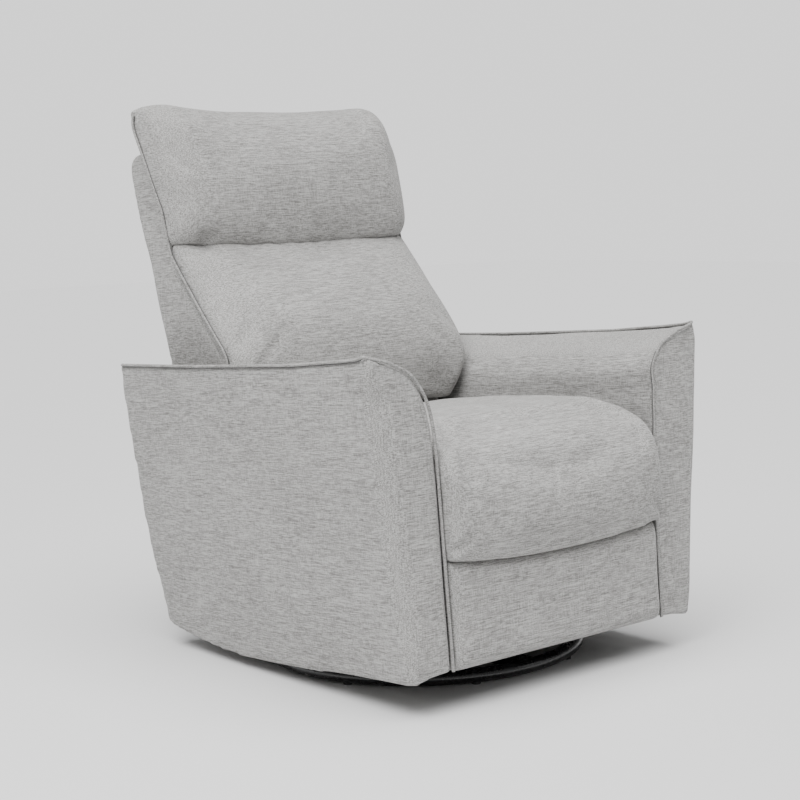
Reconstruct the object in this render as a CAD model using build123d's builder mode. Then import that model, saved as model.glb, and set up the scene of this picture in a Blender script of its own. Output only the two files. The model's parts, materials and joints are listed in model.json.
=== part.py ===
from build123d import *
import os
from math import cos, radians, sin

os.makedirs("parts", exist_ok=True)

# ---------------------------------------------------------------- driving dimensions
# World frame: origin on the floor under the middle of the chair, +Y to the back, +Z up.
TILT = 4.0  # the whole upper body leans back this much when the glider hangs at rest
BODY_FRONT_Y = -437.5  # world Y of the upper body's own origin, on the floor
RING_Y = -66.5  # world Y of the swivel axis

# upper body, in its own tilted frame: y back from the front faces, z up
ARM_INNER = 257.0
ARM_BOTTOM_OUT = 342.0
ARM_TOP_OUT = 386.0
ARM_FRONT = -8.0
ARM_REAR = 757.0
SKIN = 9.0
SEAT_HALF = 253.0
BACK_HALF_LOW = 250.0
BACK_HALF_HIGH = 284.0
BACK_STEP_Z = 592.0

# base
RING_R = 294.0
RING_TUBE = 12.5
RING_Z = 14.5

# glider links, in the world frame, y measured from the swivel axis
LINK_Y = 130.0
LINK_TOP_Z = 240.0
LINK_LOW_Z = 95.0
PIN_R = 6.0
RUN = 0.05  # radial running clearance

BRACKET_BOLT_Y = (230, 330, 430, 530)
ARM_BOLT_Y = (130, 280, 480)

# recline pivot and footrest linkage, in the body frame
BACK_PIVOT = (645.0, 300.0)
FOOT_PIVOT = (90.0, 250.0)
FOOT_LINK = 180.0
FOOT_ANGLE_A = 342.0
FOOT_ANGLE_B = 198.0
FOOT_ELBOW = (
    FOOT_PIVOT[0] + FOOT_LINK * cos(radians(FOOT_ANGLE_A)),
    FOOT_PIVOT[1] + FOOT_LINK * sin(radians(FOOT_ANGLE_A)),
)
FOOT_END = (
    FOOT_ELBOW[0] + FOOT_LINK * cos(radians(FOOT_ANGLE_B)),
    FOOT_ELBOW[1] + FOOT_LINK * sin(radians(FOOT_ANGLE_B)),
)

# ---------------------------------------------------------------- frames and helpers
UP = Vector(0, sin(radians(TILT)), cos(radians(TILT)))
BACKWARD = Vector(0, cos(radians(TILT)), -sin(radians(TILT)))
BODY_ORIGIN = Vector(0, BODY_FRONT_Y, 0)


def body_point(x, y, z):
    """A point of the body frame in world coordinates."""
    return BODY_ORIGIN + Vector(x, 0, 0) + BACKWARD * y + UP * z


def body_level(z):
    """Plane parallel to the seat at body height z."""
    return Plane(origin=body_point(0, 0, z), x_dir=(1, 0, 0), z_dir=UP)


def body_side(x):
    """Side plane at x: local x runs back, local y runs up."""
    return Plane(origin=body_point(x, 0, 0), x_dir=BACKWARD, z_dir=(1, 0, 0))


def body_front(y):
    """Front plane at y: local x runs along world X, local y runs up."""
    return Plane(origin=body_point(0, y, 0), x_dir=(1, 0, 0), z_dir=BACKWARD * -1)


def span(side, near, far):
    """Low and high x of a piece on side +1 or -1 between two distances from the middle."""
    return (near, far) if side > 0 else (-far, -near)


def side_prism(points, x0, x1, mode=Mode.ADD):
    """Extrude a side outline (y, z) of the body frame from x0 to x1."""
    with BuildSketch(body_side(x0)) as outline:
        with BuildLine():
            Polyline(*points, close=True)
        make_face()
    extrude(outline.sketch, amount=x1 - x0, mode=mode)


def front_prism(points, y_front, y_back, mode=Mode.ADD):
    """Extrude a front outline (x, z) of the body frame from y_back to y_front."""
    with BuildSketch(body_front(y_back)) as outline:
        with BuildLine():
            Polyline(*points, close=True)
        make_face()
    extrude(outline.sketch, amount=y_back - y_front, mode=mode)


def body_box(x0, x1, y0, y1, z0, z1, mode=Mode.ADD):
    """A box square to the body frame."""
    with BuildSketch(body_level(z0)) as outline:
        with Locations(((x0 + x1) / 2, (y0 + y1) / 2)):
            Rectangle(x1 - x0, y1 - y0)
    extrude(outline.sketch, amount=z1 - z0, mode=mode)


def world_box(x0, x1, y0, y1, z0, z1, mode=Mode.ADD):
    """A box square to the world frame."""
    with BuildSketch(Plane.XY.offset(z0)) as outline:
        with Locations(((x0 + x1) / 2, (y0 + y1) / 2)):
            Rectangle(x1 - x0, y1 - y0)
    extrude(outline.sketch, amount=z1 - z0, mode=mode)


def body_rod(center, radius, x0, x1, mode=Mode.ADD):
    """A rod along X through (y, z) of the body frame."""
    with BuildSketch(body_side(x0)) as outline:
        with Locations(center):
            Circle(radius)
    extrude(outline.sketch, amount=x1 - x0, mode=mode)


def world_rod(y, z, radius, x0, x1, mode=Mode.ADD):
    """A rod along X through world (y, z)."""
    with BuildSketch(Plane.YZ.offset(x0)) as outline:
        with Locations((y, z)):
            Circle(radius)
    extrude(outline.sketch, amount=x1 - x0, mode=mode)


def strap(plane, start, end, half_width, thickness):
    """A flat bar with round ends between two points of a plane."""
    along = (Vector(*end) - Vector(*start)).normalized()
    across = Vector(-along.Y, along.X) * half_width
    a = Vector(*start)
    b = Vector(*end)
    with BuildSketch(plane) as outline:
        with BuildLine():
            Polyline(a + across, b + across, b - across, a - across, close=True)
        make_face()
        with Locations(a, b):
            Circle(half_width)
    extrude(outline.sketch, amount=thickness)


def mirrored(points, side):
    """The (x, z) outline for side +1 or -1."""
    return [(side * x, z) for x, z in points]


def save(builder, label):
    builder.part.label = label
    export_step(builder.part, f"parts/{label}.step")


SIDES = (("left", -1), ("right", 1))

# ---------------------------------------------------------------- base
with BuildPart() as base_ring:
    with Locations((0, RING_Y, RING_Z)):
        Torus(RING_R, RING_TUBE)
save(base_ring, "base_ring")

with BuildPart() as base_cross:
    world_box(-RING_R, RING_R, RING_Y - 16, RING_Y + 16, 6, 24)
    world_box(-16, 16, RING_Y - RING_R, RING_Y + RING_R, 6, 24)
    with Locations((0, RING_Y, RING_Z)):
        Torus(RING_R, RING_TUBE, mode=Mode.SUBTRACT)
    with Locations((0, RING_Y, RING_Z)):
        Cylinder(RING_R - 4, 60, mode=Mode.INTERSECT)
save(base_cross, "base_cross")

with BuildPart() as floor_glides:
    with Locations((0, RING_Y, 3.5)):
        with PolarLocations(RING_R, 8, start_angle=22.5):
            Cylinder(8, 7)
    with Locations((0, RING_Y, RING_Z)):
        Torus(RING_R, RING_TUBE, mode=Mode.SUBTRACT)
save(floor_glides, "floor_glides")

with BuildPart() as lower_swivel_plate:
    world_box(-90, 90, RING_Y - 90, RING_Y + 90, 24, 28)
    with BuildSketch(Plane.XY.offset(28)) as lower_race:
        with Locations((0, RING_Y)):
            Circle(74)
            Circle(62, mode=Mode.SUBTRACT)
    extrude(amount=2)
    with Locations((0, RING_Y, 26)):
        Cylinder(10.01, 20, mode=Mode.SUBTRACT)
save(lower_swivel_plate, "lower_swivel_plate")

with BuildPart() as swivel_bolts:
    with Locations((0, RING_Y, 0)):
        with Locations((0, 80, 30), (0, -80, 30), (80, 0, 30), (-80, 0, 30)):
            Cylinder(6, 4)
save(swivel_bolts, "swivel_bolts")

with BuildPart() as bearing_balls:
    with Locations((0, RING_Y, 34)):
        with PolarLocations(68, 16):
            Sphere(4)
save(bearing_balls, "bearing_balls")

with BuildPart() as kingpin:
    with Locations((0, RING_Y, 39)):
        Cylinder(10, 30)
    with Locations((0, RING_Y, 56)):
        Cylinder(16, 4)
save(kingpin, "kingpin")

# ---------------------------------------------------------------- swivel carriage
with BuildPart() as upper_swivel_plate:
    world_box(-100, 100, RING_Y - 120, RING_Y + 120, 40, 45)
    with BuildSketch(Plane.XY.offset(38.2)) as upper_race:
        with Locations((0, RING_Y)):
            Circle(74)
            Circle(62, mode=Mode.SUBTRACT)
    extrude(amount=1.8)
    with Locations((0, RING_Y, 42)):
        Cylinder(10 + RUN, 20, mode=Mode.SUBTRACT)
save(upper_swivel_plate, "upper_swivel_plate")

with BuildPart() as carriage_rails:
    for rail_y in (-95, 95):
        world_box(-190, 190, RING_Y + rail_y - 18, RING_Y + rail_y + 18, 45, 71)
save(carriage_rails, "carriage_rails")

for name, side in SIDES:
    x_low, x_high = span(side, 190, 194)
    with BuildPart() as carriage_plate:
        half_outline = ((125, 45), (150, 240), (140, 260))
        rear_half = [(RING_Y + y, z) for y, z in half_outline]
        front_half = [(RING_Y - y, z) for y, z in reversed(half_outline)]
        with BuildSketch(Plane.YZ.offset(x_low)) as plate_outline:
            with BuildLine():
                Polyline(*rear_half, *front_half, close=True)
            make_face()
            with Locations((RING_Y, 150)):
                SlotOverall(90, 50, mode=Mode.SUBTRACT)
        extrude(amount=x_high - x_low)
        for pivot_y in (-LINK_Y, LINK_Y):
            world_rod(RING_Y + pivot_y, LINK_TOP_Z, PIN_R + 0.01, x_low - 1, x_high + 1, Mode.SUBTRACT)
    save(carriage_plate, f"carriage_plate_{name}")

with BuildPart() as upper_pins:
    for name, side in SIDES:
        for pivot_y in (-LINK_Y, LINK_Y):
            x_low, x_high = span(side, 187, 205)
            world_rod(RING_Y + pivot_y, LINK_TOP_Z, PIN_R, x_low, x_high)
            x_low, x_high = span(side, 184, 187)
            world_rod(RING_Y + pivot_y, LINK_TOP_Z, PIN_R + 4, x_low, x_high)
save(upper_pins, "upper_pins")

# ---------------------------------------------------------------- swing links
for place, pivot_y in (("front", -LINK_Y), ("rear", LINK_Y)):
    for name, side in SIDES:
        x_low, x_high = span(side, 197, 202)
        with BuildPart() as swing_link:
            top = (RING_Y + pivot_y, LINK_TOP_Z)
            low = (RING_Y + pivot_y, LINK_LOW_Z)
            strap(Plane.YZ.offset(x_low), top, low, 13, x_high - x_low)
            world_rod(top[0], top[1], PIN_R + RUN, x_low - 1, x_high + 1, Mode.SUBTRACT)
            world_rod(low[0], low[1], PIN_R + RUN, x_low - 1, x_high + 1, Mode.SUBTRACT)
        save(swing_link, f"link_{place}_{name}")

with BuildPart() as lower_pins:
    for name, side in SIDES:
        for pivot_y in (-LINK_Y, LINK_Y):
            x_low, x_high = span(side, 196, 212)
            world_rod(RING_Y + pivot_y, LINK_LOW_Z, PIN_R, x_low, x_high)
            x_low, x_high = span(side, 212, 214)
            world_rod(RING_Y + pivot_y, LINK_LOW_Z, PIN_R + 4, x_low, x_high)
save(lower_pins, "lower_pins")

# ---------------------------------------------------------------- seat box
RAIL_SHAPE = (
    (68, 233),
    (212, 88),
    (520, 106),
    (534, 150),
    (610, 264),
    (610, 268),
    (68, 268),
)
for name, side in SIDES:
    with BuildPart() as seat_bracket:
        x_low, x_high = span(side, 208, 212)
        side_prism(RAIL_SHAPE, x_low, x_high)
        x_a, x_b = span(side, 208, 253)
        body_box(x_a, x_b, 190, 610, 264, 268)
        for pivot_y in (-LINK_Y, LINK_Y):
            world_rod(RING_Y + pivot_y, LINK_LOW_Z, PIN_R + 0.01, x_low - 1, x_high + 1, Mode.SUBTRACT)
        body_rod(FOOT_PIVOT, 9 + RUN, x_low - 1, x_high + 1, Mode.SUBTRACT)
        for bolt_y in BRACKET_BOLT_Y:
            with Locations(Location(Plane(origin=body_point(side * 244, bolt_y, 266), z_dir=UP))):
                Cylinder(4.01, 12, mode=Mode.SUBTRACT)
    save(seat_bracket, f"seat_bracket_{name}")

for name, side in SIDES:
    with BuildPart() as seat_rail:
        x_low, x_high = span(side, 235, 253)
        body_box(x_low, x_high, 22, 688, 268, 313)
        body_rod(BACK_PIVOT, 6 + RUN, x_low - 1, x_high + 1, Mode.SUBTRACT)
        for bolt_y in ARM_BOLT_Y:
            body_rod((bolt_y, 290), 5.01, x_low - 1, x_high + 1, Mode.SUBTRACT)
        for bolt_y in BRACKET_BOLT_Y:
            with Locations(Location(Plane(origin=body_point(side * 244, bolt_y, 278), z_dir=UP))):
                Cylinder(4.01, 24, mode=Mode.SUBTRACT)
    save(seat_rail, f"seat_rail_{name}")

with BuildPart() as seat_rail_front:
    body_box(-235, 235, 22, 46, 268, 313)
save(seat_rail_front, "seat_rail_front")

with BuildPart() as seat_rail_middle:
    body_box(-235, 235, 572, 594, 268, 313)
save(seat_rail_middle, "seat_rail_middle")

with BuildPart() as rear_rail:
    body_box(-253, 253, 688, 706, 263, 308)
save(rear_rail, "rear_rail")

with BuildPart() as bracket_bolts:
    for name, side in SIDES:
        for bolt_y in BRACKET_BOLT_Y:
            with Locations(Location(Plane(origin=body_point(side * 244, bolt_y, 275), z_dir=UP))):
                Cylinder(4, 22)
            with Locations(Location(Plane(origin=body_point(side * 244, bolt_y, 262), z_dir=UP))):
                Cylinder(7, 4)
save(bracket_bolts, "bracket_bolts")

with BuildPart() as seat_springs:
    for wire_x in (-170, -85, 0, 85, 170):
        corners = [(wire_x, 46), (wire_x, 53)]
        for k in range(12):
            bend_y = 61 + 41.5 * k
            corners += [(wire_x - 22, bend_y), (wire_x - 22, bend_y + 20.75)]
            corners += [(wire_x + 22, bend_y + 20.75), (wire_x + 22, bend_y + 41.5)]
        corners += [(wire_x, 565), (wire_x, 572)]
        with BuildLine(body_level(309)) as wire_path:
            FilletPolyline(*corners, radius=2.5)
        with BuildSketch(Plane(origin=wire_path.line @ 0, z_dir=wire_path.line % 0)) as wire_round:
            Circle(1.8)
        sweep(sections=wire_round.sketch, path=wire_path.line)
save(seat_springs, "seat_springs")

SEAT_SHAPE = (
    (-34, 252),
    (-42, 300),
    (-43, 350),
    (-37, 400),
    (-20, 436),
    (8, 455),
    (50, 468),
    (230, 473),
    (470, 466),
    (558, 458),
    (558, 323),
    (18, 323),
    (16, 252),
)
with BuildPart() as seat_cushion:
    side_prism(SEAT_SHAPE, -SEAT_HALF, SEAT_HALF)
save(seat_cushion, "seat_cushion")

with BuildPart() as rear_panel:
    body_box(-252, 252, 706.5, 728, 118, 308)
save(rear_panel, "rear_panel")

# ---------------------------------------------------------------- arms
INNER_PATH = (
    (ARM_INNER, 65),
    (ARM_INNER + 2, 300),
    (ARM_INNER + 3, 430),
    (ARM_INNER + 7, 480),
    (ARM_INNER + 14, 515),
    (ARM_INNER + 27, 543),
    (ARM_INNER + 49, 569),
    (ARM_INNER + 86, 588),
)
ARM_SECTION = INNER_PATH + ((ARM_TOP_OUT, 603), (ARM_BOTTOM_OUT - 1, 55))
PAD_SECTION = INNER_PATH + ((376, 599), (371, 545), (293, 545), (293, 65))
ARM_OUTLINE = (
    (ARM_FRONT, 65),
    (60, 66),
    (150, 65),
    (277, 60),
    (390, 58),
    (487, 61),
    (562, 68),
    (638, 81),
    (705, 94),
    (728, 104),
    (ARM_REAR - 9, 200),
    (ARM_REAR - 4, 330),
    (ARM_REAR, 455),
    (ARM_REAR, 555),
    (ARM_REAR - 6, 601),
    (500, 594),
    (200, 591),
    (60, 595),
    (ARM_FRONT, 602),
)
for name, side in SIDES:
    with BuildPart() as arm_frame:
        x_low, x_high = span(side, 294, 312)
        side_prism(((15, 115), (700, 148), (728, 190), (735, 330), (735, 544), (15, 544)), x_low, x_high)
        for bolt_y in ARM_BOLT_Y:
            body_rod((bolt_y, 290), 5.01, x_low - 1, x_high + 1, Mode.SUBTRACT)
    save(arm_frame, f"arm_frame_{name}")

    with BuildPart() as arm_padding:
        front_prism(mirrored(PAD_SECTION, side), 0.5, 747.5)
        x_low, x_high = span(side, 200, 420)
        side_prism(ARM_OUTLINE, x_low, x_high, Mode.INTERSECT)
        world_box(-450, 450, -600, 600, -50, 40, Mode.SUBTRACT)
        x_low, x_high = span(side, 250, 294)
        for bolt_y in ARM_BOLT_Y:
            body_rod((bolt_y, 290), 5.2, x_low, x_high, Mode.SUBTRACT)
    save(arm_padding, f"arm_padding_{name}")

    with BuildPart() as arm_cover:
        front_prism(mirrored(ARM_SECTION, side), ARM_FRONT, ARM_REAR)
        x_low, x_high = span(side, 200, 420)
        side_prism(ARM_OUTLINE, x_low, x_high, Mode.INTERSECT)
        pocket = ((200, 0), (200, 700), (ARM_TOP_OUT - 1.5, 700), (ARM_BOTTOM_OUT - SKIN - 5.4, 0))
        front_prism(mirrored(pocket, side), 0, ARM_REAR - SKIN, Mode.SUBTRACT)
    save(arm_cover, f"arm_cover_{name}")

with BuildPart() as arm_bolts:
    for name, side in SIDES:
        for bolt_y in ARM_BOLT_Y:
            x_low, x_high = span(side, 235, 316)
            body_rod((bolt_y, 290), 5, x_low, x_high)
            x_low, x_high = span(side, 230, 235)
            body_rod((bolt_y, 290), 9, x_low, x_high)
save(arm_bolts, "arm_bolts")

# ---------------------------------------------------------------- back
SHELL_FRONT = (
    (590, 385),
    (553, 470),
    (548, 560),
    (557, 601),
    (577, 624),
    (613, 676),
    (657, 731),
    (692, 790),
    (700, 835),
    (714, 895),
    (733, 936),
    (765, 1008),
)
SHELL_REAR = (
    (813, 1004),
    (827, 985),
    (819, 928),
    (800, 854),
    (780, 789),
    (764, 696),
    (744, 612),
    (726, 500),
    (700, 345),
)
STILE_TOP = (770, 950)
with BuildPart() as back_shell:
    shell_shape = SHELL_FRONT + SHELL_REAR + ((630, 345),)
    side_prism(shell_shape, -BACK_HALF_HIGH, BACK_HALF_HIGH)
    low_cut = ((440, 300), (440, BACK_STEP_Z), (900, BACK_STEP_Z), (900, 300))
    side_prism(low_cut, BACK_HALF_LOW, 400, Mode.SUBTRACT)
    side_prism(low_cut, -400, -BACK_HALF_LOW, Mode.SUBTRACT)
    inner = [(y - 9, z) for y, z in SHELL_REAR[2:]]
    pocket = [(480, 320), (480, 600), (640, 780), (690, 920), (750, 996), (806, 996), (817, 984)] + inner
    pocket = pocket + [(688, 320)]
    side_prism(pocket, -BACK_HALF_LOW + 9, BACK_HALF_LOW - 9, Mode.SUBTRACT)
save(back_shell, "back_shell")

for name, side in SIDES:
    with BuildPart() as back_stile:
        x_low, x_high = span(side, 213, 231)
        strap(body_side(x_low), BACK_PIVOT, STILE_TOP, 20, x_high - x_low)
        body_rod(BACK_PIVOT, 6.01, x_low - 1, x_high + 1, Mode.SUBTRACT)
    save(back_stile, f"back_stile_{name}")

with BuildPart() as back_rails:
    lean = (STILE_TOP[0] - BACK_PIVOT[0]) / (STILE_TOP[1] - BACK_PIVOT[1])
    for rail_z in (400, 670, 925):
        rail_y = BACK_PIVOT[0] + lean * (rail_z - BACK_PIVOT[1])
        body_box(-213, 213, rail_y - 10, rail_y + 10, rail_z - 20, rail_z + 20)
save(back_rails, "back_rails")

with BuildPart() as back_pins:
    for name, side in SIDES:
        x_low, x_high = span(side, 213, 253)
        body_rod(BACK_PIVOT, 6, x_low, x_high)
        x_low, x_high = span(side, 208, 213)
        body_rod(BACK_PIVOT, 10, x_low, x_high)
save(back_pins, "back_pins")

with BuildPart() as back_webbing:
    for band_z in (465, 540, 605, 735, 800, 865):
        band_y = BACK_PIVOT[0] + lean * (band_z - BACK_PIVOT[1]) - 29
        body_box(-231, 231, band_y, band_y + 2.5, band_z - 25, band_z + 25)
save(back_webbing, "back_webbing")

LUMBAR_SHAPE = (
    (499, 478),
    (484, 520),
    (482, 560),
    (492, 600),
    (515, 645),
    (547, 690),
    (578, 730),
    (610, 770),
    (640, 803),
    (668, 822),
    (697.3, 822),
    (692, 790),
    (657, 731),
    (613, 676),
    (577, 624),
    (557, 601),
    (548, 560),
    (552, 478),
)
with BuildPart() as lumbar_cushion:
    side_prism(LUMBAR_SHAPE, -BACK_HALF_HIGH - 4, BACK_HALF_HIGH + 4)
    side_prism(low_cut, BACK_HALF_LOW, 400, Mode.SUBTRACT)
    side_prism(low_cut, -400, -BACK_HALF_LOW, Mode.SUBTRACT)
save(lumbar_cushion, "lumbar_cushion")

PILLOW_SHAPE = (
    (697.8, 827),
    (672, 832),
    (655, 850),
    (645, 880),
    (643, 915),
    (650, 965),
    (664, 1015),
    (684, 1058),
    (715, 1088),
    (755, 1097),
    (790, 1098),
    (806, 1088),
    (810, 1060),
    (797, 1010),
    (765.5, 1009.5),
    (732.5, 936),
    (713.5, 895),
    (699.5, 835),
)
with BuildPart() as head_pillow:
    side_prism(PILLOW_SHAPE, -BACK_HALF_HIGH - 9, BACK_HALF_HIGH + 9)
save(head_pillow, "head_pillow")

# ---------------------------------------------------------------- footrest
with BuildPart() as foot_drive_tube:
    body_rod(FOOT_PIVOT, 9, -216, 216)
save(foot_drive_tube, "foot_drive_tube")

for name, side in SIDES:
    x_low, x_high = span(side, 216, 221)
    with BuildPart() as foot_link_a:
        strap(body_side(x_low), FOOT_PIVOT, FOOT_ELBOW, 10, x_high - x_low)
        body_rod(FOOT_ELBOW, 5.01, x_low - 1, x_high + 1, Mode.SUBTRACT)
    save(foot_link_a, f"foot_link_a_{name}")

    x_low, x_high = span(side, 224, 229)
    with BuildPart() as foot_link_b:
        strap(body_side(x_low), FOOT_ELBOW, FOOT_END, 10, x_high - x_low)
        body_rod(FOOT_ELBOW, 5 + RUN, x_low - 1, x_high + 1, Mode.SUBTRACT)
        body_rod(FOOT_END, 5.01, x_low - 1, x_high + 1, Mode.SUBTRACT)
    save(foot_link_b, f"foot_link_b_{name}")

    x_low, x_high = span(side, 232, 237)
    with BuildPart() as foot_bracket:
        strap(body_side(x_low), (40, FOOT_END[1]), FOOT_END, 10, x_high - x_low)
        body_box(x_low, x_high, 14, 40, 95, 205)
        body_rod(FOOT_END, 5 + RUN, x_low - 1, x_high + 1, Mode.SUBTRACT)
    save(foot_bracket, f"foot_bracket_{name}")

with BuildPart() as elbow_pins:
    for name, side in SIDES:
        x_low, x_high = span(side, 216, 230.5)
        body_rod(FOOT_ELBOW, 5, x_low, x_high)
save(elbow_pins, "elbow_pins")

with BuildPart() as foot_pins:
    for name, side in SIDES:
        x_low, x_high = span(side, 223, 239)
        body_rod(FOOT_END, 5, x_low, x_high)
save(foot_pins, "foot_pins")

with BuildPart() as foot_board:
    body_box(-245, 245, -2, 14, 80, 222)
save(foot_board, "foot_board")

with BuildPart() as foot_pad:
    body_box(-251, 251, -24, -2, 64, 240)
save(foot_pad, "foot_pad")
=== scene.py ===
import json
import math

import bpy
import numpy as np
from mathutils import Matrix, Vector, noise
from mathutils.kdtree import KDTree


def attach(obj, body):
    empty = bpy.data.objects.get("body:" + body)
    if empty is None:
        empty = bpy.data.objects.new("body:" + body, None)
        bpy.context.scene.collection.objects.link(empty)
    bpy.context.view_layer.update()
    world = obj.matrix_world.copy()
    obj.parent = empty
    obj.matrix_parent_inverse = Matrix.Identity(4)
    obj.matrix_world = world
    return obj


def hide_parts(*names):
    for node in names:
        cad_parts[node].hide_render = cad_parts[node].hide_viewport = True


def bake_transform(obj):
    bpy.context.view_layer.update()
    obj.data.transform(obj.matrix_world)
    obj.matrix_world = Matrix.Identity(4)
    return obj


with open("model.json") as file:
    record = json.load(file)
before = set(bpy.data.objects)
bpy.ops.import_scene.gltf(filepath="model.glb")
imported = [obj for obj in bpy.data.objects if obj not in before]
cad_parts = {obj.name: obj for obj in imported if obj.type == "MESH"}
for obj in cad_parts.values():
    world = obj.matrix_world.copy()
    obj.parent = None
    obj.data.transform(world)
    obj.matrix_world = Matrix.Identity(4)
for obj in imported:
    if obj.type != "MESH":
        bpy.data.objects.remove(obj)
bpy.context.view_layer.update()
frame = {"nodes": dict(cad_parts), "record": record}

scene = bpy.context.scene
TILT = math.radians(4.0)
CT, ST = math.cos(TILT), math.sin(TILT)
FRONT_Y = -437.5  # row-frame y of the body frame's origin, in millimetres

# voxel sizes and tube radii, in millimetres
BOARD_VOXEL = 5.0
CUSHION_VOXEL = 5.5
LARGE_VOXEL = 6.0
FLAP_VOXEL = 2.5
WELT_RADIUS = 2.7
# radii of the dark tubes laid beside the welts as painted seam shade
ARM_SHADE_RADIUS = 1.15
CUSHION_SHADE_RADIUS = 1.2

# half widths, in millimetres
SEAT_HALF = 254.0
PILLOW_HALF = 292.0
PAD_HALF = 252.0
PANEL_HALF = 250.0
FLAP_HALF = 248.0


# ---------------------------------------------------------------- frames and mesh helpers
def to_world(p):
    """Body-frame millimetres to the row frame in metres."""
    p = np.asarray(p, float).reshape(-1, 3)
    y, z = p[:, 1], p[:, 2]
    return np.stack([p[:, 0], FRONT_Y + y * CT + z * ST, z * CT - y * ST], 1) / 1000


def link(name, mesh):
    obj = bpy.data.objects.new(name, mesh)
    scene.collection.objects.link(obj)
    return obj


def make(name, verts, faces):
    mesh = bpy.data.meshes.new(name)
    mesh.from_pydata([tuple(v) for v in verts], [], [tuple(f) for f in faces])
    mesh.update()
    return link(name, mesh)


def get_co(obj):
    co = np.empty(len(obj.data.vertices) * 3, np.float32)
    obj.data.vertices.foreach_get("co", co)
    return co.reshape(-1, 3).astype(float)


def set_co(obj, co):
    obj.data.vertices.foreach_set("co", np.asarray(co, np.float32).ravel())
    obj.data.update()


def get_normals(obj):
    n = np.empty(len(obj.data.vertices) * 3, np.float32)
    obj.data.vertices.foreach_get("normal", n)
    return n.reshape(-1, 3).astype(float)


def bake(obj):
    """Applies every modifier on obj."""
    bpy.context.view_layer.update()
    mesh = bpy.data.meshes.new_from_object(obj.evaluated_get(bpy.context.evaluated_depsgraph_get()))
    obj.modifiers.clear()
    obj.data = mesh
    return obj


def remesh(obj, size):
    """size in millimetres, as is the mesh."""
    m = obj.modifiers.new("remesh", "REMESH")
    m.mode = "VOXEL"
    m.voxel_size = size
    m.use_smooth_shade = True
    return bake(obj)


def subdivide(obj):
    m = obj.modifiers.new("sub", "SUBSURF")
    m.levels = m.render_levels = 1
    return bake(obj)


def smooth(obj, times):
    """Moves each vertex half way to the mean of its neighbours, several times."""
    e = np.empty(len(obj.data.edges) * 2, np.int32)
    obj.data.edges.foreach_get("vertices", e)
    e = e.reshape(-1, 2)
    co = get_co(obj)
    n = len(co)
    deg = np.bincount(e.ravel(), minlength=n)[:, None].clip(1)
    for _ in range(times):
        total = np.zeros_like(co)
        for k in range(3):
            total[:, k] = np.bincount(e[:, 0], co[e[:, 1], k], n) + np.bincount(e[:, 1], co[e[:, 0], k], n)
        co += (total / deg - co) * 0.5
    set_co(obj, co)


def inflate(obj, pin, pressure, cap, frames=20):
    """Blows the closed mesh up with Cloth. pin holds a weight per vertex; cap is in millimetres."""
    rest = get_co(obj)
    set_co(obj, rest / 1000)
    group = obj.vertex_groups.new(name="pin")
    for w in np.unique(np.round(pin, 1)):
        ids = np.nonzero(np.round(pin, 1) == w)[0].tolist()
        if w > 0:
            group.add(ids, float(w), "REPLACE")
    m = obj.modifiers.new("cloth", "CLOTH")
    c = m.settings
    c.quality = 5
    c.mass = 0.3
    c.tension_stiffness = c.compression_stiffness = 15
    c.shear_stiffness = 5
    c.bending_stiffness = 0.5
    c.use_pressure = True
    c.uniform_pressure_force = pressure
    c.effector_weights.gravity = 0
    c.vertex_group_mass = "pin"
    m.collision_settings.use_collision = False
    m.point_cache.frame_start = 1
    m.point_cache.frame_end = frames
    for f in range(1, frames + 1):
        scene.frame_set(f)
    moved = bpy.data.meshes.new_from_object(obj.evaluated_get(bpy.context.evaluated_depsgraph_get()))
    co = np.empty(len(moved.vertices) * 3, np.float32)
    moved.vertices.foreach_get("co", co)
    co = co.reshape(-1, 3) * 1000.0
    obj.modifiers.clear()
    obj.vertex_groups.clear()
    scene.frame_set(1)
    step = co - rest
    length = np.linalg.norm(step, axis=1, keepdims=True).clip(1e-6)
    step *= np.minimum(length, cap) / length
    set_co(obj, rest + step)
    bpy.data.meshes.remove(moved)


def resample(path, n):
    """n points evenly spaced along an open path."""
    p = np.asarray(path, float)
    s = np.r_[0, np.cumsum(np.linalg.norm(np.diff(p, axis=0), axis=1))]
    t = np.linspace(0, s[-1], n)
    return np.stack([np.interp(t, s, p[:, k]) for k in range(p.shape[1])], 1)


def curve(path, n):
    """n points along a smooth Catmull-Rom line through the path."""
    p = np.asarray(path, float)
    q = np.vstack([2 * p[0] - p[1], p, 2 * p[-1] - p[-2]])
    out = []
    for i in range(1, len(q) - 2):
        for t in np.linspace(0, 1, 12, endpoint=False):
            a, b, c, d = q[i - 1], q[i], q[i + 1], q[i + 2]
            bend = (2 * a - 5 * b + 4 * c - d) * t**2 + (3 * b - a - 3 * c + d) * t**3
            out.append(0.5 * (2 * b + (c - a) * t + bend))
    return resample(np.vstack(out + [q[-2]]), n)


def loft(name, rings):
    """Closed solid through closed rings with the same number of points."""
    n = len(rings[0])
    verts = np.vstack(rings)
    faces = []
    for j in range(len(rings) - 1):
        for i in range(n):
            k = (i + 1) % n
            faces.append((j * n + i, j * n + k, (j + 1) * n + k, (j + 1) * n + i))
    faces.append(tuple(range(n - 1, -1, -1)))
    faces.append(tuple(range((len(rings) - 1) * n, len(rings) * n)))
    return make(name, verts, faces)


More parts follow.
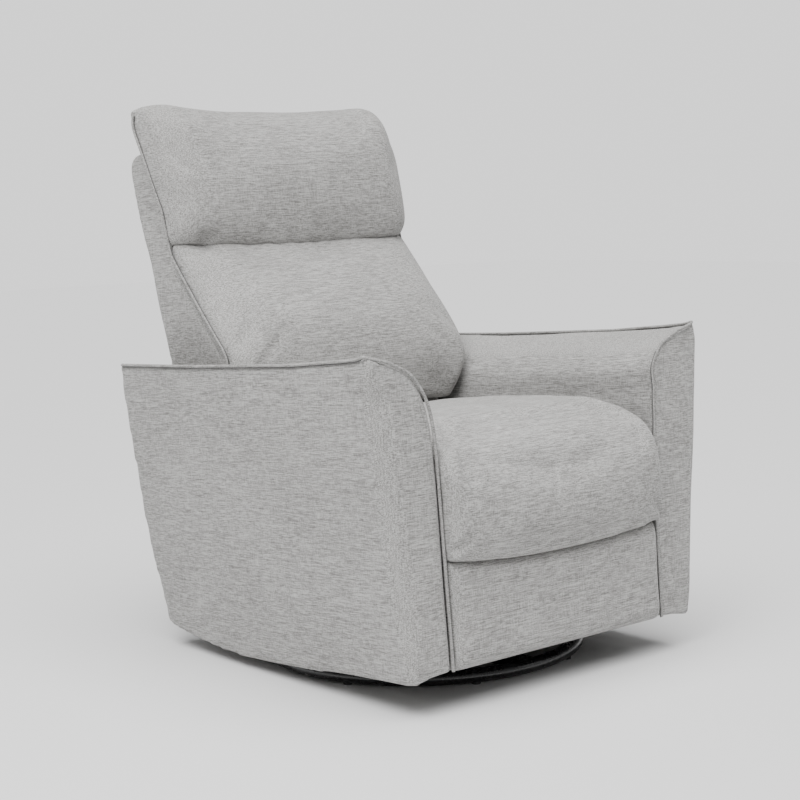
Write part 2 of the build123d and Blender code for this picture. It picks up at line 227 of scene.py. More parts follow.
def tube(name, path, radius, sides=8):
    """A mesh tube along an open path of points, in the same units."""
    p = np.asarray(path, float)
    n = len(p)
    tan = np.gradient(p, axis=0)
    tan /= np.linalg.norm(tan, axis=1, keepdims=True).clip(1e-9)
    ref = np.array([1.0, 0, 0]) if abs(tan[0][0]) < 0.8 else np.array([0, 0, 1.0])
    normal = np.cross(tan[0], ref)
    normal /= np.linalg.norm(normal)
    verts, faces = [], []
    for i in range(n):
        normal = normal - tan[i] * normal.dot(tan[i])
        normal /= np.linalg.norm(normal)
        side = np.cross(tan[i], normal)
        for k in range(sides):
            a = 2 * math.pi * k / sides
            verts.append(p[i] + radius * (math.cos(a) * normal + math.sin(a) * side))
    for i in range(n - 1):
        a, b = i * sides, (i + 1) * sides
        for k in range(sides):
            m = (k + 1) % sides
            faces.append((a + k, a + m, b + m, b + k))
    faces.append(tuple(range(sides - 1, -1, -1)))
    faces.append(tuple(range((n - 1) * sides, n * sides)))
    return make(name, verts, faces)


def groove(obj, line, depth, width):
    """Presses a seam line into the surface, along its normals."""
    length = sum(np.linalg.norm(np.diff(np.asarray(line, float), axis=0), axis=1))
    path = resample(line, max(int(length / 1.5), 8))
    tree = KDTree(len(path))
    for i, v in enumerate(path):
        tree.insert(v, i)
    tree.balance()
    co = get_co(obj)
    near = np.array([tree.find(v)[2] for v in co])
    co -= get_normals(obj) * (depth * np.exp(-((near / width) ** 2)))[:, None]
    set_co(obj, co)


def fold(p, scale, depth, seed):
    """Small soft unevenness, the same on every run."""
    out = np.empty(len(p))
    for i, v in enumerate(p):
        out[i] = noise.noise(Vector((v[0] / scale[0] + seed, v[1] / scale[1], v[2] / scale[2])))
    return out * depth


def step01(a, b, v):
    t = np.clip((np.asarray(v, float) - a) / (b - a), 0, 1)
    return t * t * (3 - 2 * t)


def finish_piece(obj, body, material, replaces=()):
    """Moves a piece to the row frame and says what it rides on, is made of and stands for."""
    set_co(obj, to_world(get_co(obj)))
    obj.data.materials.clear()
    obj.data.materials.append(material)
    obj.data.shade_smooth()
    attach(obj, body)
    if replaces:
        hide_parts(*replaces)
    return obj


# ---------------------------------------------------------------- materials
def nodes_of(name):
    mat = bpy.data.materials.new(name)
    mat.use_nodes = True
    tree = mat.node_tree
    return mat, tree.nodes, tree.links, tree.nodes["Principled BSDF"]


def scaled(nodes, links, source, scale):
    m = nodes.new("ShaderNodeMapping")
    m.inputs["Scale"].default_value = scale
    links.new(source, m.inputs["Vector"])
    return m.outputs["Vector"]


def noise_node(nodes, links, vector, scale, detail=2.0, rough=0.5):
    n = nodes.new("ShaderNodeTexNoise")
    n.inputs["Scale"].default_value = scale
    n.inputs["Detail"].default_value = detail
    n.inputs["Roughness"].default_value = rough
    links.new(vector, n.inputs["Vector"])
    return n.outputs["Fac"]


def math_node(nodes, links, op, a, b=0.5):
    n = nodes.new("ShaderNodeMath")
    n.operation = op
    for k, v in enumerate((a, b)):
        if isinstance(v, (int, float)):
            n.inputs[k].default_value = v
        else:
            links.new(v, n.inputs[k])
    return n.outputs[0]


def mix_value(nodes, links, fac, a, b):
    n = nodes.new("ShaderNodeMix")
    n.data_type = "FLOAT"
    links.new(fac, n.inputs[0])
    links.new(a, n.inputs[2])
    links.new(b, n.inputs[3])
    return n.outputs[0]


def ramp(nodes, links, fac, stops):
    r = nodes.new("ShaderNodeValToRGB")
    e = r.color_ramp.elements
    while len(e) < len(stops):
        e.new(0.5)
    for k, (pos, col) in enumerate(stops):
        e[k].position = pos
        e[k].color = (*col, 1)
    links.new(fac, r.inputs["Fac"])
    return r.outputs["Color"]


def add_bump(nodes, links, shader, height, strength, distance):
    bump = nodes.new("ShaderNodeBump")
    bump.inputs["Strength"].default_value = strength
    bump.inputs["Distance"].default_value = distance
    links.new(height, bump.inputs["Height"])
    links.new(bump.outputs["Normal"], shader.inputs["Normal"])


def linen(name, gain=1.0):
    """Heathered linen-look weave: slub streaks across the cloth, with salt and pepper threads."""
    mat, nodes, links, shader = nodes_of(name)
    coord = nodes.new("ShaderNodeTexCoord").outputs["Object"]
    turn = nodes.new("ShaderNodeMapping")
    turn.inputs["Rotation"].default_value = (TILT, 0, 0)
    links.new(coord, turn.inputs["Vector"])
    base = turn.outputs["Vector"]
    normal = nodes.new("ShaderNodeTexCoord").outputs["Normal"]
    split = nodes.new("ShaderNodeSeparateXYZ")
    links.new(normal, split.inputs[0])
    sideways = math_node(nodes, links, "ABSOLUTE", split.outputs[0])
    side = math_node(nodes, links, "GREATER_THAN", sideways, 0.72)

    def streak(long, thin, detail):
        """Threads that run across the chair, and from front to back on faces that look sideways."""
        across = noise_node(nodes, links, scaled(nodes, links, base, (long, thin, thin)), 1.0, detail, 0.6)
        along = noise_node(nodes, links, scaled(nodes, links, base, (thin, long, thin)), 1.0, detail, 0.6)
        return mix_value(nodes, links, side, across, along)

    slub = streak(16.0, 640.0, 2.0)
    thread = streak(60.0, 900.0, 1.0)
    warp = noise_node(nodes, links, scaled(nodes, links, base, (760.0, 760.0, 60.0)), 1.0, 1.0)
    pepper = noise_node(nodes, links, base, 430.0, 2.0, 0.7)
    cloud = noise_node(nodes, links, base, 9.0, 2.0)
    total = math_node(nodes, links, "MULTIPLY", slub, 0.27)
    for value, share in ((thread, 0.32), (warp, 0.17), (pepper, 0.19), (cloud, 0.05)):
        total = math_node(nodes, links, "ADD", total, math_node(nodes, links, "MULTIPLY", value, share))
    tones = [
        (0.41, (0.155, 0.151, 0.145)),
        (0.475, (0.260, 0.255, 0.247)),
        (0.515, (0.328, 0.323, 0.314)),
        (0.585, (0.450, 0.445, 0.433)),
    ]
    tones = [(p, tuple(min(1.0, v * gain) for v in c)) for p, c in tones]
    links.new(ramp(nodes, links, total, tones), shader.inputs["Base Color"])
    add_bump(nodes, links, shader, total, strength=0.5, distance=0.0012)
    shader.inputs["Roughness"].default_value = 0.92
    shader.inputs["Specular IOR Level"].default_value = 0.25
    shader.inputs["Sheen Weight"].default_value = 0.12
    shader.inputs["Sheen Roughness"].default_value = 0.5
    return mat


def painted(name, dark, light, rough_low, rough_high, metallic=0.0, coat=0.0):
    """Paint or metal with a fine uneven surface and small changes of tone and gloss."""
    mat, nodes, links, shader = nodes_of(name)
    coord = nodes.new("ShaderNodeTexCoord").outputs["Object"]
    grain = noise_node(nodes, links, coord, 60.0, 4.0, 0.6)
    links.new(ramp(nodes, links, grain, [(0.3, dark), (0.7, light)]), shader.inputs["Base Color"])
    rough = nodes.new("ShaderNodeMapRange")
    rough.inputs["To Min"].default_value = rough_low
    rough.inputs["To Max"].default_value = rough_high
    links.new(grain, rough.inputs["Value"])
    links.new(rough.outputs[0], shader.inputs["Roughness"])
    pits = noise_node(nodes, links, coord, 900.0, 2.0)
    add_bump(nodes, links, shader, pits, strength=0.2, distance=0.0002)
    shader.inputs["Metallic"].default_value = metallic
    shader.inputs["Coat Weight"].default_value = coat
    shader.inputs["Coat Roughness"].default_value = 0.08
    return mat


def wood(name):
    """Raw wood with its grain along the depth of the chair."""
    mat, nodes, links, shader = nodes_of(name)
    coord = nodes.new("ShaderNodeTexCoord").outputs["Object"]
    grain = noise_node(nodes, links, scaled(nodes, links, coord, (60.0, 9.0, 60.0)), 1.0, 6.0, 0.65)
    tones = [(0.32, (0.42, 0.28, 0.15)), (0.5, (0.60, 0.43, 0.26)), (0.68, (0.74, 0.57, 0.38))]
    links.new(ramp(nodes, links, grain, tones), shader.inputs["Base Color"])
    add_bump(nodes, links, shader, grain, strength=0.25, distance=0.0005)
    shader.inputs["Roughness"].default_value = 0.62
    return mat


def webbing(name):
    """Ribbed elastic webbing."""
    mat, nodes, links, shader = nodes_of(name)
    coord = nodes.new("ShaderNodeTexCoord").outputs["Object"]
    wave = nodes.new("ShaderNodeTexWave")
    wave.bands_direction = "Z"
    wave.inputs["Scale"].default_value = 160.0
    wave.inputs["Distortion"].default_value = 0.6
    links.new(coord, wave.inputs["Vector"])
    tones = [(0.2, (0.03, 0.03, 0.033)), (0.8, (0.11, 0.11, 0.12))]
    links.new(ramp(nodes, links, wave.outputs["Fac"], tones), shader.inputs["Base Color"])
    add_bump(nodes, links, shader, wave.outputs["Fac"], strength=0.5, distance=0.0006)
    shader.inputs["Roughness"].default_value = 0.9
    return mat


FABRIC = linen("linen_fabric")
WELT = linen("linen_welt", 0.9)
# a darkened copy of the linen for thin tubes beside the welts: painted shade where the seams fall in shadow
PAINTED_SHADE = linen("painted_seam_shade", 0.3)
FINISH = {
    "upholstery": FABRIC,
    "elastic_webbing": webbing("elastic_webbing"),
    "black_steel": painted("black_steel", (0.006, 0.006, 0.0065), (0.012, 0.012, 0.013), 0.22, 0.34, 0, 0.35),
    "mechanism_steel": painted("mechanism_steel", (0.05, 0.05, 0.052), (0.10, 0.10, 0.105), 0.38, 0.55, 0.6),
    "zinc_hardware": painted("zinc_hardware", (0.50, 0.50, 0.48), (0.68, 0.68, 0.66), 0.25, 0.42, 1.0),
    "frame_wood": wood("frame_wood"),
    "glide_plastic": painted("glide_plastic", (0.02, 0.02, 0.02), (0.045, 0.045, 0.045), 0.5, 0.65),
}
slot_of = {s["node"]: s["material_slot"] for s in frame["record"]["subparts"]}
for node_name, node in frame["nodes"].items():
    finish = FINISH[slot_of[node_name]]
    if not node.material_slots:
        node.data.materials.append(finish)
    for place in node.material_slots:
        place.material = finish


# ---------------------------------------------------------------- arms
# INNER, CORNER and OUTER draw the front section as (x, z). BOTTOM, REAR and TOP are (y, z) outlines.
INNER = [
    (257, 65), (258, 180), (259, 300), (260, 400), (261, 440),
    (264, 480), (271, 515), (284, 543), (306, 569), (343, 588),
]
CORNER = (386, 603)
LOW_OUT = (341, 55)
OUTER = [CORNER, (374, 450), (357, 240), LOW_OUT]
BOTTOM = [
    (-8, 66), (60, 66), (150, 65), (277, 60), (390, 58),
    (487, 61), (562, 68), (638, 81), (705, 94), (728, 104),
]
REAR = [(728, 65), (734, 130), (748, 200), (753, 330), (757, 455), (757, 555), (750, 603)]
TOP = [(-8, 602), (20, 597), (60, 595), (200, 591), (500, 594), (750, 601)]


def interp(path, v, ax=0):
    """The other coordinate of a line of points where coordinate ax is v."""
    p = np.asarray(path, float)
    return np.interp(v, p[:, ax], p[:, 1 - ax])


def arm_point(x, z, s, drop=0.0):
    """x, z on the section drawn for the front, s from 0 at the front to 1 at the rear."""
    y = -8 + s * (interp(REAR, z, 1) + 8)
    low, high = interp(BOTTOM, y), interp(TOP, y) - drop
    return x, y, low + (z - 62.0) / (603.0 - 62.0) * (high - low)


inner_line = curve(INNER, 60)
over_line = curve([INNER[-1], (365, 596), CORNER], 12)[1:]
outer_line = resample(OUTER, 50)[1:]
under_line = resample([LOW_OUT, (300, 62), INNER[0]], 12)[1:-1]
section = np.vstack([inner_line, over_line, outer_line, under_line])
ranks = np.r_[np.linspace(0, 0.06, 9), np.linspace(0.06, 0.94, 40)[1:], np.linspace(0.94, 1, 7)[1:]]


def arm_place(x, z, s, outer, drop=0.0, flare=0.0):
    """Adds the soft fold at the front outer edge, the swell of the panels and the flare of the right arm."""
    px, py, pz = arm_point(x, z, s, drop)
    r = (14.0 + 14.0 * step01(80, 170, z)) * (1 - step01(520, 592, z)) * (1 - 0.7 * flare) + 2.0
    if flare:
        inside, outside = interp(INNER, z, 1), interp(OUTER[::-1], z, 1)
        across = min(max((x - inside) / (outside - inside), 0), 1)
        shift_in = np.interp(z, (330, 430, 490, 515, 530, 566, 590), (0, 10, 9, 2, -2, -2, 6))
        shift_out = np.interp(z, (55, 160, 280, 400, 510, 572, 603), (-4, 2, 9, 18, 22, 23, 17))
        px += flare * (1 - 0.7 * step01(0.1, 1.0, s)) * (shift_in + (shift_out - shift_in) * across)
    d = py + 8.0
    if outer and d < r:
        px -= r - math.sqrt(max(r * r - (r - d) ** 2, 0.0))
    if outer:
        swell = math.sin(math.pi * min(max((z - 60) / 540, 0), 1)) * math.sin(math.pi * s) ** 0.6
        px += 3.5 * swell
    return px, py, pz


def build_arm(side, sign):
    """Lofts one arm, then sews the welt round the rim and lays a dark tube under it as painted seam shade."""
    drop = 4.0 if side == "left" else 0.0
    flare = 0.0 if side == "left" else 1.0
    rings = []
    for s in ranks:
        ring = []
        for i, (x, z) in enumerate(section):
            outer = x > 335 and i >= len(inner_line) + 2 and i < len(section) - len(under_line)
            q = arm_place(x, z, s, outer, drop, flare)
            ring.append((sign * q[0], q[1], q[2]))
        rings.append(np.array(ring))
    arm = loft("arm_" + side, rings)
    remesh(arm, BOARD_VOXEL)
    smooth(arm, 3)
    co = get_co(arm)
    n = get_normals(arm)
    front = step01(20, -6, co[:, 1]) * step01(62, 120, co[:, 2]) * step01(600, 560, co[:, 2])
    swell = fold(co, (150, 190, 160), 2.2, 3.1 * sign) + fold(co, (60, 60, 240), 0.7, 9.0)
    co += n * (swell * step01(55, 110, co[:, 2]))[:, None]
    co[:, 1] -= 2.5 * front * np.sin(np.pi * np.clip((np.abs(co[:, 0]) - 257) / 110, 0, 1))
    set_co(arm, co)
    subdivide(arm)

    around = np.vstack([section[: len(inner_line)], over_line])
    bend = 9 if side == "left" else 3
    edge = [arm_place(CORNER[0], CORNER[1], s, True, drop, flare) for s in np.linspace(0.012, 0.988, 90)]
    nose = [arm_place(x, z, 0.0, False, drop, flare) for x, z in around[:-bend]]
    tail = [arm_place(x, z, 1.0, False, drop, flare) for x, z in around[:-3]]
    rim = (
        [(sign * (x - 0.5), y - 1.5, z + 0.5) for x, y, z in nose]
        + [(sign * (x + 1.0), y, z + 1.0) for x, y, z in edge]
        + [(sign * (x - 0.5), y + 1.0, z + 0.5) for x, y, z in tail[::-1]]
    )
    groove(arm, rim, depth=2.6, width=4.5)
    stands_for = ["arm_padding_" + side, "arm_cover_" + side]
    finish_piece(arm, "chair", FABRIC, stands_for)
    path = curve(rim, 420)
    cord = tube("arm_welt_rim_" + side, path, WELT_RADIUS)
    finish_piece(cord, "chair", WELT)
    # a dark tube below the welt, moved sideways at its ends: painted shade along the seam
    end = step01(14, -4, path[:, 1]) + step01(735, 752, path[:, 1])
    low = path + np.stack([-sign * 2.6 * end, 0 * end, -3.4 * (1 - end) - 0.8 * end], 1)
    seam_shade = tube("arm_seam_shade_rim_" + side, low, ARM_SHADE_RADIUS)
    finish_piece(seam_shade, "chair", PAINTED_SHADE)


for side, sign in (("left", -1.0), ("right", 1.0)):
    build_arm(side, sign)


# ---------------------------------------------------------------- cushions
def stations(half, edge):
    """Places across a cushion, closer together near its ends."""
    inner = np.linspace(-half + edge, half - edge, 23)
    t = (1 - np.cos(np.linspace(0, math.pi / 2, 9))) * edge
    return np.r_[-half + t[:-1], inner, half - t[::-1][1:]]


def ring_at(x, loop):
    """A closed (y, z) outline as points in space, at one place across the chair."""
    return np.c_[np.full(len(loop), x), loop]


def swell_at(x, half, edge, power=2.0):
    """How full a cushion is at x: 1 in the middle, rounding off to 0 over the width edge."""
    t = min((half - abs(x)) / edge, 1.0)
    return (1 - (1 - t) ** power) ** (1 / power)


# seat
SEAT_FULL = [
    (-34, 252), (-41, 300), (-42, 350), (-36, 400), (-19, 434),
    (9, 453), (50, 465), (230, 470), (470, 464), (556, 456),
]
SEAT_END = [
    (-27, 255), (-36, 300), (-37, 350), (-31, 394), (-14, 424),
    (12, 441), (52, 451), (230, 456), (470, 451), (556, 443),
]
SEAT_EDGE = 24.0


def build_seat():
    """The seat cushion: blown up on top and in front, held where the chair hides it."""
    full, end = curve(SEAT_FULL, 90), curve(SEAT_END, 90)
    under = resample([(556, 448), (556, 325), (30, 325)], 40)[1:]
    rest = np.vstack([under, resample([(30, 325), (20, 252)], 8)[1:]])
    rings = []
    for x in stations(SEAT_HALF, SEAT_EDGE):
        g = swell_at(x, SEAT_HALF, SEAT_EDGE)
        front = end + (full - end) * g
        dip = 16.0 * (1 - (x / SEAT_HALF) ** 2) + 1.0
        loop = np.vstack([front, rest])
        loop[:, 1] -= dip * step01(300, 250, loop[:, 1])
        rings.append(ring_at(x, loop))
    seat = loft("seat", rings)
    remesh(seat, LARGE_VOXEL)
    smooth(seat, 4)
    co = get_co(seat)
    pin = np.maximum(step01(500, 550, co[:, 1]), step01(345, 325, co[:, 2]) * step01(10, 25, co[:, 1]))
    pin = np.maximum(pin, step01(262, 250, co[:, 2]))
    hidden_side = step01(430, 380, co[:, 2]) * step01(-20, 10, co[:, 1])
    pin = np.maximum(pin, step01(248, 254, np.abs(co[:, 0])) * hidden_side)
    inflate(seat, pin, pressure=3.0, cap=14.0)
    co = get_co(seat)
    co[:, 0] = np.clip(co[:, 0], -256, 256)
    set_co(seat, co)
    n = get_normals(seat)
    free = step01(560, 470, co[:, 1]) * step01(300, 380, co[:, 2])
    ripple = fold(co, (90, 70, 70), 2.2, 1.7) + fold(co, (35, 120, 40), 1.0, 5.2)
    co += n * (ripple * free)[:, None]
    corner = np.exp(-(((np.abs(co[:, 0]) - 250) / 34) ** 2) - ((co[:, 2] - 262) / 40) ** 2)
    corner *= step01(30, -20, co[:, 1])
    co[:, 1] += corner * (5 + 5 * np.sin(co[:, 2] / 5.5 + np.abs(co[:, 0]) / 9))
    set_co(seat, co)
    subdivide(seat)
    finish_piece(seat, "chair", FABRIC, ["seat_cushion"])


build_seat()


# lumbar cushion
def half_at(z, low, high):
    """Half the width at a height: between the arms below, spread above their shoulders."""
    return low + (high - low) * np.interp(z, (490, 515, 543, 566), (0.0, 0.42, 0.78, 1.0))


def pinch(co, z):
    """Where the fold under the head pillow is pulled in, close to its ends."""
    left = np.exp(-(((co[:, 0] + 226) / 20) ** 2) - ((co[:, 2] - z) / 14) ** 2)
    right = 0.5 * np.exp(-(((co[:, 0] - 262) / 16) ** 2) - ((co[:, 2] - z) / 12) ** 2)
    return left + right


LUM_FULL = [
    (512, 474), (492, 500), (484, 535), (485, 570), (494, 603), (516, 645),
    (547, 690), (579, 731), (611, 771), (638, 800), (662, 818),
]
LUM_PIPE = [
    (545, 478), (536, 500), (529, 535), (528, 570), (533, 603), (567, 645),
    (605, 690), (638, 731), (670, 771), (690, 800), (697, 826),
]
LUM_REAR = [
    (697, 826), (692, 790), (657, 731), (613, 676),
    (577, 624), (557, 601), (549, 560), (552, 478),
]


def build_lumbar():
    """The lumbar cushion, held along its welts, its top and its rear."""
    full, pipe = curve(LUM_FULL, 90), curve(LUM_PIPE, 90)
    back_line = resample(LUM_REAR, 60)[1:-1]
    rings = []
    for k in stations(1.0, 0.26):
        edge = np.interp(full[:, 1], (560, 690), (0.09, 0.26))
        g = np.array([swell_at(k, 1.0, e, 2.3) for e in edge])[:, None]
        front = pipe + (full - pipe) * g
        loop = np.vstack([front, back_line])
        half = half_at(loop[:, 1], 253.5, 288.0)
        rings.append(np.c_[k * half, loop])
    lumbar = loft("lumbar_cushion_cover", rings)
    remesh(lumbar, CUSHION_VOXEL)
    smooth(lumbar, 3)
    co = get_co(lumbar)
    rear = interp(sorted([(z, y) for y, z in LUM_REAR]), co[:, 2])
    pin = np.maximum(step01(14, 4, rear - co[:, 1]), step01(805, 818, co[:, 2]))
    edge = half_at(co[:, 2], 252.0, 288.0) - np.abs(co[:, 0])
    pin = np.maximum(pin, step01(8, 2, edge))
    inflate(lumbar, pin, pressure=3.0, cap=16.0)
    smooth(lumbar, 8)
    co = get_co(lumbar)
    edge_x = half_at(co[:, 2], 254.0, 291.0)
    co[:, 0] = np.clip(co[:, 0], -edge_x, edge_x)
    set_co(lumbar, co)
    n = get_normals(lumbar)
    near_top = step01(700, 810, co[:, 2])
    free = step01(6, 40, rear - co[:, 1])
    ripple = fold(co, (120, 90, 80), 2.6, 2.2) + fold(co, (30, 60, 90), 1.3, 7.7) * near_top
    gather = near_top * 0.7 * np.sin(co[:, 0] / 11.0 + 3 * np.sin(co[:, 0] / 60.0))
    co += n * ((ripple + gather) * free)[:, None]
    co[:, 1] += 16.0 * pinch(co, 815.0) * free
    set_co(lumbar, co)
    subdivide(lumbar)
    finish_piece(lumbar, "back", FABRIC, ["lumbar_cushion"])


build_lumbar()

# head pillow
PIL_FULL = [
    (694, 818), (672, 819), (656, 822), (645, 838), (640, 864), (641, 900), (648, 960),
    (662, 1015), (682, 1056), (714, 1082), (752, 1092), (783, 1089), (803, 1074),
]
PIL_PIPE = [
    (700, 808), (694, 834), (693, 855), (701, 880), (711, 905), (729, 945), (748, 985),
    (766, 1020), (779, 1045), (784, 1062), (781, 1077), (786, 1084), (800, 1078),
]
PIL_REAR = [(804, 1076), (802, 1040), (790, 1012), (767, 1011), (733, 937), (714, 895), (702, 812)]


def build_pillow():
    """The head pillow, which hangs over the top of the slab."""
    full, pipe = curve(PIL_FULL, 100), curve(PIL_PIPE, 100)
    back_line = resample(PIL_REAR, 50)[1:-1]
    rings = []
    for k in stations(1.0, 0.22):
        g = swell_at(k, 1.0, 0.22, 2.3)
        front = pipe + (full - pipe) * g
        thick = swell_at(k, 1.0, 0.09)
        tucked = back_line.copy()
        over = step01(1000, 1020, back_line[:, 1])
        behind_pipe = interp([(z, y) for y, z in PIL_PIPE[2:-2]], back_line[:, 1]) + 5
        tucked[:, 0] += (1 - thick) * over * (np.minimum(back_line[:, 0], behind_pipe) - back_line[:, 0])
        loop = np.vstack([front, tucked])
        x = k * PILLOW_HALF
        ear = 16.0 * (min(abs(k), 0.9) / 0.9) ** 2.6 - 8.0
        loop[:, 1] += ear * step01(980, 1080, loop[:, 1])
        loop[:, 1] -= 13.0 * (1 - k * k) * step01(880, 830, loop[:, 1]) * step01(700, 680, loop[:, 0])
        rings.append(ring_at(x, loop))
    pillow = loft("head_pillow_cover", rings)
    remesh(pillow, CUSHION_VOXEL)
    smooth(pillow, 3)
    co = get_co(pillow)
    rear = interp(sorted([(z, y) for y, z in PIL_REAR]), co[:, 2])
    pin = np.maximum(step01(14, 4, rear - co[:, 1]), step01(826, 818, co[:, 2]))
    pin = np.maximum(pin, step01(8, 2, PILLOW_HALF - np.abs(co[:, 0])))
    inflate(pillow, pin, pressure=3.0, cap=14.0)
    smooth(pillow, 6)
    co = get_co(pillow)
    co[:, 0] *= 1 + 0.014 * np.sin(np.pi * np.clip((co[:, 2] - 835) / 230, 0, 1))
    co[:, 0] = np.clip(co[:, 0], -300, 300)
    set_co(pillow, co)
    n = get_normals(pillow)
    free = step01(6, 40, rear - co[:, 1])
    low = step01(930, 845, co[:, 2])
    ripple = fold(co, (130, 90, 70), 3.0, 4.4) + fold(co, (28, 60, 80), 1.4, 8.1) * low
    gather = low * 0.6 * np.sin(co[:, 0] / 12.0 + 2.4 * np.sin(co[:, 0] / 70.0) + 1.0)
    co += n * ((ripple + gather) * free)[:, None]
    co[:, 1] += 16.0 * pinch(co, 826.0) * free
    set_co(pillow, co)
    subdivide(pillow)
    finish_piece(pillow, "back", FABRIC, ["head_pillow"])


build_pillow()

# ---------------------------------------------------------------- back slab, rear panel, footrest pad
SHELL_FRONT = [
    (590, 385), (553, 470), (548, 560), (557, 601), (577, 624), (613, 676),
    (657, 731), (692, 790), (700, 835), (714, 895), (733, 936), (765, 1008),
]
SHELL_REAR = [
    (813, 1004), (827, 985), (819, 928), (800, 854), (780, 789),
    (764, 696), (744, 612), (726, 500), (700, 345),
]


def build_slab():
    """The padded back slab behind both cushions."""
    over = resample([(765, 1008), (813, 1004)], 10)[1:]
    under = resample([(700, 345), (630, 345), (590, 385)], 14)[1:-1]
    loop = np.vstack([curve(SHELL_FRONT, 80), over, curve(SHELL_REAR, 70)[1:], under])
    rings = []
    for k in stations(1.0, 0.05):
        r = 14.0 * (1 - swell_at(k, 1.0, 0.05))
        mid = loop.mean(0)
        inward = mid - loop
        inward /= np.linalg.norm(inward, axis=1, keepdims=True)
        ring = loop + inward * r
        half = half_at(loop[:, 1], 250.0, 284.0)
        rings.append(np.c_[k * half, ring])
    shell = loft("back_slab", rings)
    remesh(shell, LARGE_VOXEL)
    smooth(shell, 4)
    co = get_co(shell)
    n = get_normals(shell)
    rear_face = step01(0.5, 0.9, n[:, 1])
    across = np.clip(1 - (co[:, 0] / 284) ** 2, 0, 1)
    co += n * ((5.0 * across * rear_face) + fold(co, (160, 90, 130), 2.0, 6.6))[:, None]
    co[:, 0] = np.clip(co[:, 0], -286, 286)
    set_co(shell, co)
    subdivide(shell)
    finish_piece(shell, "back", FABRIC, ["back_shell"])


build_slab()


def rounded(t):
    """A face that swells from 0 to 1 as t goes from 0 to 1."""
    return (1 - (1 - t) ** 2.2) ** (1 / 2.2)


def build_footrest_pad():
    """The footrest panel: padding over a board, its top edge bowed like the seat front."""
    rings = []
    for k in stations(1.0, 0.08):
        g = swell_at(k, 1.0, 0.08)
        x = k * PAD_HALF
        rise = 16.5 * (x / PAD_HALF) ** 2
        top = 237.5 + rise
        a = resample([(-3, 66), (15, 68), (15, 228), (-3, top)], 40)
        z = np.linspace(top, 68, 36)
        t = np.clip(np.minimum(top - z, z - 68) / 26.0, 0, 1)
        y = -3.0 - 19.0 * g * rounded(t)
        loop = np.vstack([a, np.c_[y, z][1:-1]])
        rings.append(ring_at(x, loop))
    pad = loft("footrest_pad_cover", rings)
    remesh(pad, BOARD_VOXEL)
    smooth(pad, 3)
    co = get_co(pad)
    n = get_normals(pad)
    co += n * (fold(co, (120, 60, 90), 2.0, 2.9) * step01(-6, -14, co[:, 1]))[:, None]
    set_co(pad, co)
    subdivide(pad)
    finish_piece(pad, "footrest", FABRIC, ["foot_pad"])


build_footrest_pad()


def build_rear_panel():
    """The fabric panel below the back slab."""
    rings = []
    for k in stations(1.0, 0.06):
        g = swell_at(k, 1.0, 0.06)
        a = resample([(707.5, 306), (707.5, 120)], 24)
        z = np.linspace(120, 306, 30)
        t = np.clip(np.minimum(306 - z, z - 120) / 20.0, 0, 1)
        y = 710.0 + 17.0 * g * rounded(t)
        loop = np.vstack([a, np.c_[y, z][1:-1]])
        rings.append(ring_at(k * PANEL_HALF, loop))
    panel = loft("rear_panel_cover", rings)
    remesh(panel, BOARD_VOXEL)
    smooth(panel, 3)
    subdivide(panel)
    finish_piece(panel, "chair", FABRIC, ["rear_panel"])


build_rear_panel()


def build_flap():
    """The strip between the rear panel and the reclining slab."""
    rings = []
    for k in stations(1.0, 0.04):
        t = np.linspace(0, 1, 22)
        bulge = 3.0 * np.sin(np.pi * t)
        outer = np.stack([713.0 - 5.0 * t + bulge, 303.0 + 52.0 * t], 1)
        loop = np.vstack([outer, (outer - (5.0, 0.0))[::-1]])
        rings.append(ring_at(k * FLAP_HALF, loop))
    flap = loft("rear_flap", rings)
    remesh(flap, FLAP_VOXEL)
    smooth(flap, 2)
    set_co(flap, to_world(get_co(flap)))
    flap.data.materials.append(FABRIC)
    flap.data.shade_smooth()
    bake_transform(flap)


build_flap()


# ---------------------------------------------------------------- welts
def welt(side, line, body, seam_shade):
    """A welt along the line, and a dark tube beside it as painted shade."""
    cord = tube("cushion_welt_" + side, curve(line, 160), WELT_RADIUS)
    finish_piece(cord, body, WELT)
    # the dark tube beside the welt is painted shade, shifted from the welt line by the given offset
    low = curve(np.asarray(line, float) + np.asarray(seam_shade, float), 160)
    finish_piece(tube("cushion_seam_shade_" + side, low, CUSHION_SHADE_RADIUS), body, PAINTED_SHADE)


for side, sign in (("left", -1.0), ("right", 1.0)):
    line = [(sign * (half_at(z, 254.0, 289.0) + 1.0), y - 2.0, z) for y, z in LUM_PIPE if z > 540]
    line += [(sign * 291.0, 694, 828)]
    line += [(sign * (294.0 + 3.0 * math.sin((z - 835) / 73.0)), y - 2.0, z) for y, z in PIL_PIPE[3:-2]]
    welt(side, line, "back", (-sign * 1.2, -2.8, 0))


# ---------------------------------------------------------------- floor, light, camera
def plane(name, size, z):
    h = size / 2
    return make(name, [(-h, -h, z), (h, -h, z), (h, h, z), (-h, h, z)], [(0, 1, 2, 3)])


FLOOR_GREY = 0.70
SKY_LIGHT = 0.36  # what the surroundings add to the light
SKY_SEEN = 1.36  # what the camera sees, as bright as the lit floor
SUN_SPREAD = math.radians(70)

floor = plane("floor", 30.0, 0.0)
mat, nodes, links, shader = nodes_of("pale_floor")
shader.inputs["Base Color"].default_value = (FLOOR_GREY, FLOOR_GREY, FLOOR_GREY, 1)
shader.inputs["Roughness"].default_value = 0.9
floor.data.materials.append(mat)

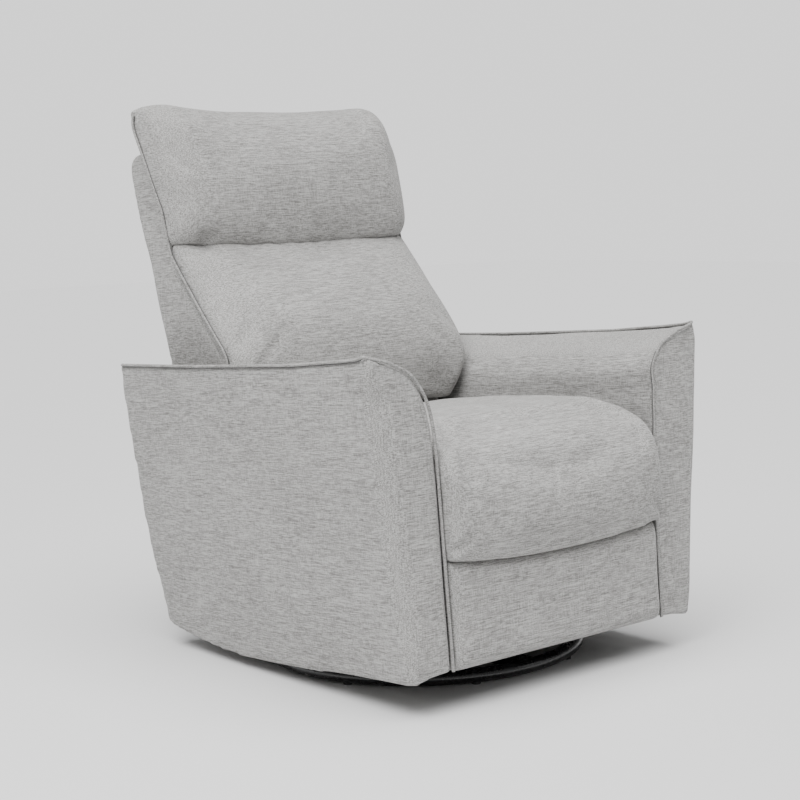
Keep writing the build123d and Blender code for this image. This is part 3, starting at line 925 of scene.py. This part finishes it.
world = bpy.data.worlds.new("studio")
scene.world = world
world.use_nodes = True
back = world.node_tree.nodes["Background"]
back.inputs["Color"].default_value = (1, 1, 1, 1)
back.inputs["Strength"].default_value = SKY_LIGHT
paper = world.node_tree.nodes.new("ShaderNodeBackground")
paper.inputs["Color"].default_value = (1, 1, 1, 1)
paper.inputs["Strength"].default_value = SKY_SEEN
ray = world.node_tree.nodes.new("ShaderNodeLightPath")
blend = world.node_tree.nodes.new("ShaderNodeMixShader")
world.node_tree.links.new(ray.outputs["Is Camera Ray"], blend.inputs[0])
world.node_tree.links.new(back.outputs[0], blend.inputs[1])
world.node_tree.links.new(paper.outputs[0], blend.inputs[2])
world.node_tree.links.new(blend.outputs[0], world.node_tree.nodes["World Output"].inputs["Surface"])


def area(name, place, target, size, power):
    data = bpy.data.lights.new(name, "AREA")
    data.energy = power
    data.size = size
    obj = bpy.data.objects.new(name, data)
    scene.collection.objects.link(obj)
    obj.location = place
    obj.rotation_euler = (Vector(target) - Vector(place)).to_track_quat("-Z", "Y").to_euler()


area("side", place=(-1.75, -0.75, 2.2), target=(0, 0, 0.45), size=1.4, power=40)
area("fill", place=(2.2, -2.2, 1.7), target=(0, 0, 0.5), size=1.8, power=6)
data = bpy.data.lights.new("overhead", "SUN")
data.energy = 5.1
data.angle = SUN_SPREAD
sun = bpy.data.objects.new("overhead", data)
scene.collection.objects.link(sun)
sun.rotation_euler = Vector((0.12, 0.16, -1.0)).to_track_quat("-Z", "Y").to_euler()

# the camera's own axes and place, in the row frame
RIGHT = Vector((0.7642593, -0.6442662, -0.0287891))
UP = Vector((0.0955427, 0.0689636, 0.9930335))
AHEAD = Vector((0.6377925, 0.7616857, -0.1142610))
EYE = Vector((-2.060293, -2.479689, 0.834174))
data = bpy.data.cameras.new("camera")
data.lens = 76.5
data.sensor_width = 36.0
camera = bpy.data.objects.new("camera", data)
scene.collection.objects.link(camera)
camera.matrix_world = Matrix(
    (
        (RIGHT.x, UP.x, -AHEAD.x, EYE.x),
        (RIGHT.y, UP.y, -AHEAD.y, EYE.y),
        (RIGHT.z, UP.z, -AHEAD.z, EYE.z),
        (0, 0, 0, 1),
    )
)
scene.camera = camera
